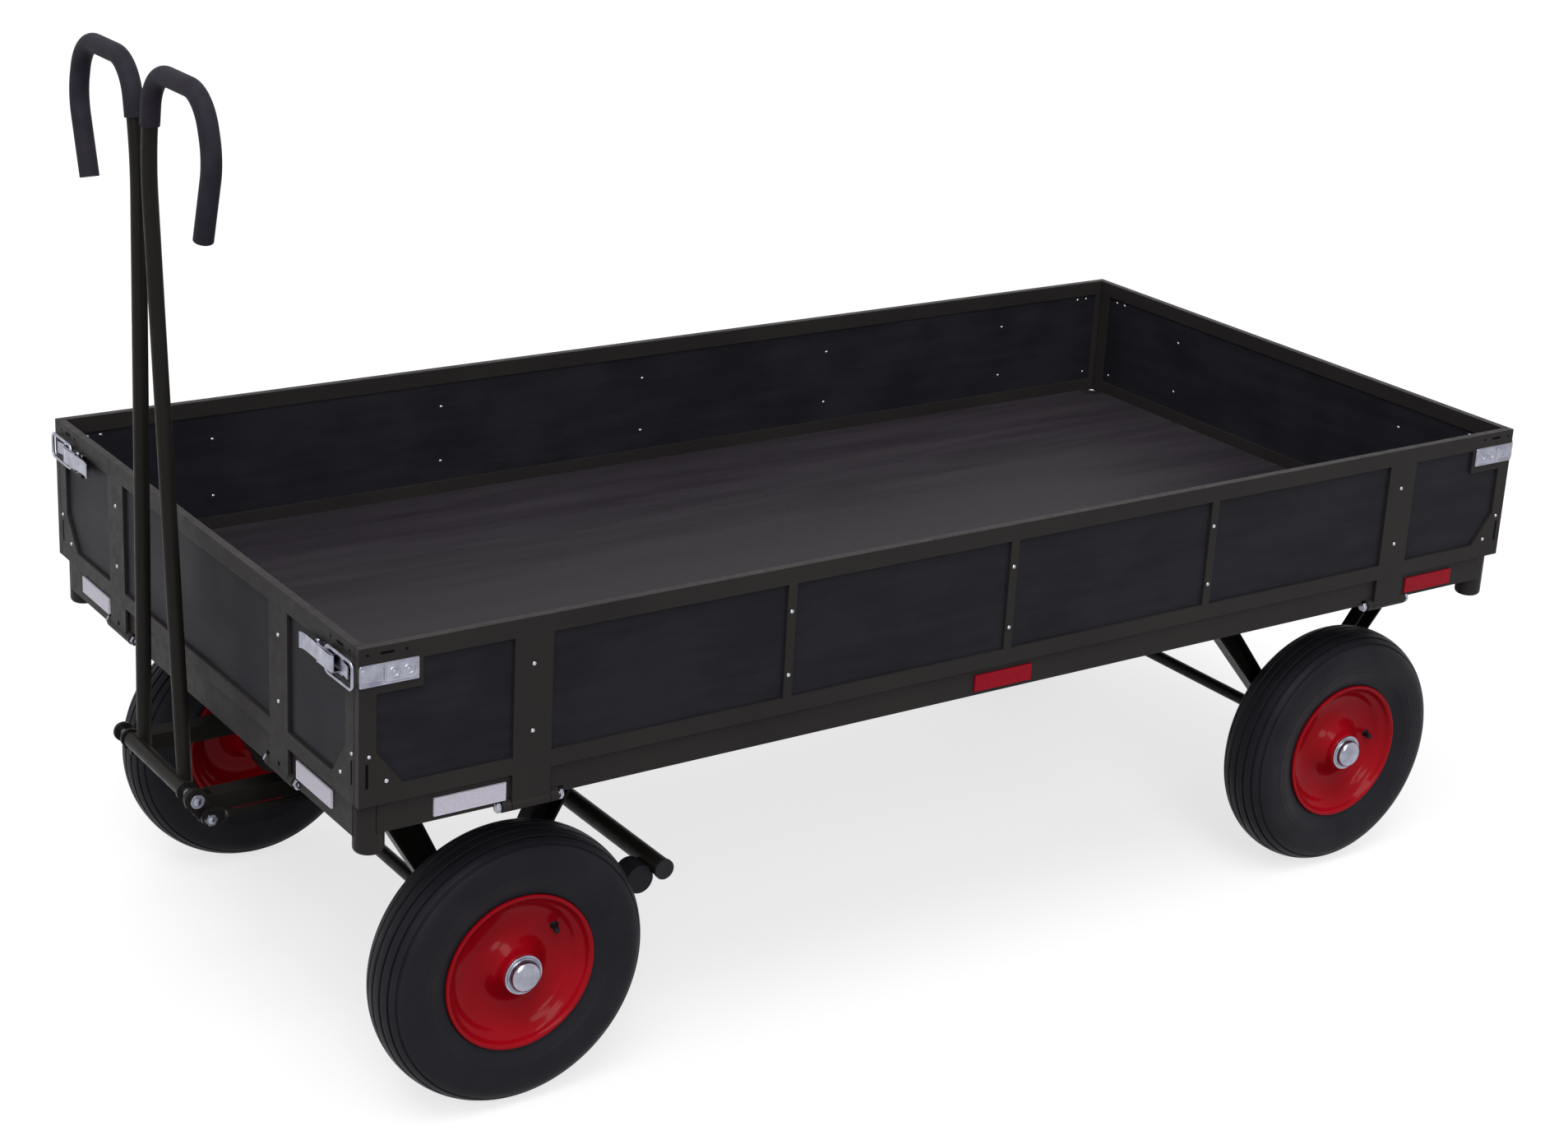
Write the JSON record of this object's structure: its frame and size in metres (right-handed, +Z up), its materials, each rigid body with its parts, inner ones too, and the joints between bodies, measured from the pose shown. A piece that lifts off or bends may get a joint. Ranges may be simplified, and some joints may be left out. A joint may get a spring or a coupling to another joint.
{
  "type": "platform hand cart",
  "caption": "Four-wheel platform hand cart with turntable steering, twin-tube drawbar with hooked grips, hold-down brake tube, flat deck and four drop walls",
  "frame": {"origin": "midway between the two ends and the two sides, on the floor under the wheels", "axes": "+X forward towards the drawbar, +Y left, +Z up"},
  "size_m": [2.131, 1.022, 1.3692],
  "materials": {
    "black_paint": "satin",
    "panel_black": "satin",
    "deck_ply": "satin",
    "rim_red": "gloss",
    "tyre_rubber": "matte",
    "grip_foam": "matte",
    "pad_rubber": "matte",
    "zinc": "satin",
    "reflector_white": "gloss",
    "reflector_red": "gloss",
    "cap_plastic": "satin"
  },
  "bodies": {
    "chassis": {"side_rails": "black_paint", "end_rails": "black_paint", "cross_members": "black_paint", "corner_tubes": "black_paint", "deck_panel": "deck_ply", "hinge_brackets": "black_paint", "hinge_pins": "zinc", "reflectors_white": "reflector_white", "reflectors_red": "reflector_red", "rear_axle": "black_paint", "rear_axle_legs": "black_paint", "rear_axle_caps": "zinc", "turntable_upper": "black_paint"},
    "steering": {"turntable_lower": "black_paint", "kingpin": "black_paint", "steering_bolster": "black_paint", "front_axle": "black_paint", "front_axle_legs": "black_paint", "front_axle_caps": "zinc", "drawbar_fork": "black_paint", "brake_hangers": "black_paint"},
    "drawbar": {"drawbar_tubes": "black_paint", "grip_left": "grip_foam", "grip_right": "grip_foam", "drawbar_pin": "zinc", "brake_lever": "black_paint"},
    "brake": {"brake_tube": "black_paint", "brake_arms": "black_paint", "brake_tube_caps": "cap_plastic", "brake_pads": "pad_rubber"},
    "brake_rod": {"brake_rod": "black_paint"},
    "wall_left": {"wall_frame_left": "black_paint", "wall_panel_left": "panel_black", "latch_strikes_left": "zinc"},
    "wall_right": {"wall_frame_right": "black_paint", "wall_panel_right": "panel_black", "latch_strikes_right": "zinc"},
    "wall_front": {"wall_frame_front": "black_paint", "wall_panel_front": "panel_black", "latches_front": "zinc"},
    "wall_rear": {"wall_frame_rear": "black_paint", "wall_panel_rear": "panel_black", "latches_rear": "zinc"},
    "wheel_front_left": {"rim_front_left": "rim_red", "tyre_front_left": "tyre_rubber"},
    "wheel_front_right": {"rim_front_right": "rim_red", "tyre_front_right": "tyre_rubber"},
    "wheel_rear_left": {"rim_rear_left": "rim_red", "tyre_rear_left": "tyre_rubber"},
    "wheel_rear_right": {"rim_rear_right": "rim_red", "tyre_rear_right": "tyre_rubber"}
  },
  "joints": [
    {"name": "steering", "type": "hinge", "parent": "chassis", "child": "steering", "pos_m": [0.7329, 0, 0.43], "axis": [0, 0, 1], "range_deg": [-18, 18]},
    {"name": "drawbar_tilt", "type": "hinge", "parent": "steering", "child": "drawbar", "pos_m": [1.0509, 0, 0.386], "axis": [0, 1, 0], "range_deg": [0, 90]},
    {"name": "brake_swing", "type": "hinge", "parent": "steering", "child": "brake", "pos_m": [0.49287, 0, 0.4041], "axis": [0, 1, 0], "range_deg": [0, 14.5]},
    {"name": "brake_rod_pivot", "type": "hinge", "parent": "brake", "child": "brake_rod", "pos_m": [0.49287, 0.139, 0.36], "axis": [0, 1, 0], "range_deg": [-19, 0.5]},
    {"name": "wheel_spin_front_left", "type": "hinge", "parent": "steering", "child": "wheel_front_left", "pos_m": [0.7329, 0.422, 0.2], "axis": [0, 1, 0], "continuous": true},
    {"name": "wheel_spin_front_right", "type": "hinge", "parent": "steering", "child": "wheel_front_right", "pos_m": [0.7329, -0.422, 0.2], "axis": [0, 1, 0], "continuous": true},
    {"name": "wheel_spin_rear_left", "type": "hinge", "parent": "chassis", "child": "wheel_rear_left", "pos_m": [-0.8001, 0.422, 0.2], "axis": [0, 1, 0], "continuous": true},
    {"name": "wheel_spin_rear_right", "type": "hinge", "parent": "chassis", "child": "wheel_rear_right", "pos_m": [-0.8001, -0.422, 0.2], "axis": [0, 1, 0], "continuous": true},
    {"name": "wall_left_drop", "type": "hinge", "parent": "chassis", "child": "wall_left", "pos_m": [-0.0281, 0.5015, 0.474], "axis": [-1, 0, 0], "range_deg": [0, 170]},
    {"name": "wall_right_drop", "type": "hinge", "parent": "chassis", "child": "wall_right", "pos_m": [-0.0281, -0.5015, 0.474], "axis": [1, 0, 0], "range_deg": [0, 170]},
    {"name": "wall_front_drop", "type": "hinge", "parent": "chassis", "child": "wall_front", "pos_m": [0.9884, 0, 0.474], "axis": [0, 1, 0], "range_deg": [0, 8]},
    {"name": "wall_rear_drop", "type": "hinge", "parent": "chassis", "child": "wall_rear", "pos_m": [-1.0446, 0, 0.474], "axis": [0, -1, 0], "range_deg": [0, 170]}
  ],
  "couplings": [
    {"joint": "brake_swing", "follows": "drawbar_tilt", "ratio": 0.15556},
    {"joint": "brake_rod_pivot", "follows": "drawbar_tilt", "ratio": -0.20206}
  ]
}
